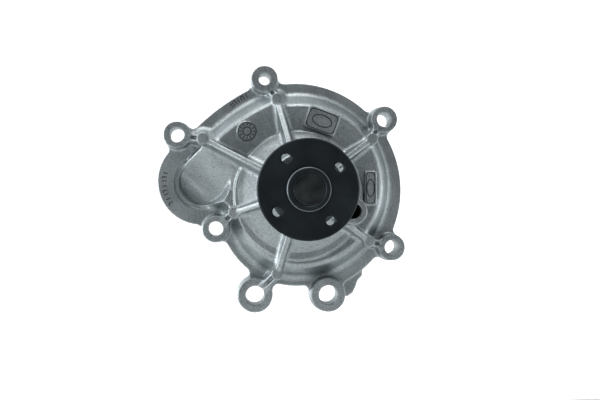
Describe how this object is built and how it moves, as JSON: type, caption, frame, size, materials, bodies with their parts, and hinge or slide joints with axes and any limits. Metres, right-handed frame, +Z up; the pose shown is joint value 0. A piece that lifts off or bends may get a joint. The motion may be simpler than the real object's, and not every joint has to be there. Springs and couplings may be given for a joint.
{
  "type": "water pump",
  "caption": "Belt-driven engine water pump: die-cast cover with scroll and bearing snout, black pulley hub with centring spigot, vaned impeller behind.",
  "frame": {"origin": "where the shaft axis meets the mounting face", "axes": "-Y along the shaft towards the pulley, +Z up as the pump is shown, +X to the right seen from the pulley"},
  "size_m": [0.1443, 0.084, 0.1437],
  "materials": {
    "cast_aluminium": "die-cast, fine blasted grain",
    "gasket_rubber": "matt moulded",
    "filter_bronze": "sintered, matt",
    "bearing_steel": "ground",
    "seal_rubber": "matt moulded",
    "seal_stainless": "drawn, satin",
    "seal_carbon": "lapped carbon",
    "seal_ceramic": "lapped ceramic",
    "spring_steel": "drawn wire",
    "shaft_steel": "ground, dark at the end",
    "bush_steel": "turned",
    "impeller_plastic": "glass-filled, matt",
    "black_hub_steel": "black phosphate, oiled satin",
    "cage_plastic": "moulded"
  },
  "bodies": {
    "housing": {"pump_housing": "cast_aluminium", "body_gasket": "gasket_rubber", "weep_filter": "filter_bronze", "bearing_outer_ring": "bearing_steel", "bearing_seal_rear": "seal_rubber", "bearing_seal_front": "seal_rubber", "seal_case": "seal_stainless", "seal_carbon_ring": "seal_carbon", "seal_bellows": "seal_rubber", "seal_spring_washer": "seal_stainless", "seal_spring": "spring_steel"},
    "rotor": {"shaft": "shaft_steel", "slinger": "seal_rubber", "seal_mating_ring": "seal_ceramic", "seal_seat_cup": "seal_rubber", "seal_drive_sleeve": "seal_stainless", "impeller": "impeller_plastic", "impeller_bush": "bush_steel", "hub_flange": "black_hub_steel"},
    "cage_rear": {"bearing_balls_rear": "bearing_steel", "bearing_cage_rear": "cage_plastic"},
    "cage_front": {"bearing_balls_front": "bearing_steel", "bearing_cage_front": "cage_plastic"}
  },
  "joints": [
    {"name": "shaft_spin", "type": "hinge", "parent": "housing", "child": "rotor", "pos_m": [0, -0.05, 0], "axis": [0, -1, 0], "continuous": true},
    {"name": "cage_rear_spin", "type": "hinge", "parent": "housing", "child": "cage_rear", "pos_m": [0, -0.042, 0], "axis": [0, -1, 0], "continuous": true},
    {"name": "cage_front_spin", "type": "hinge", "parent": "housing", "child": "cage_front", "pos_m": [0, -0.0597, 0], "axis": [0, -1, 0], "continuous": true}
  ],
  "couplings": [
    {"joint": "cage_rear_spin", "follows": "shaft_spin", "ratio": 0.3488},
    {"joint": "cage_front_spin", "follows": "shaft_spin", "ratio": 0.3488}
  ]
}
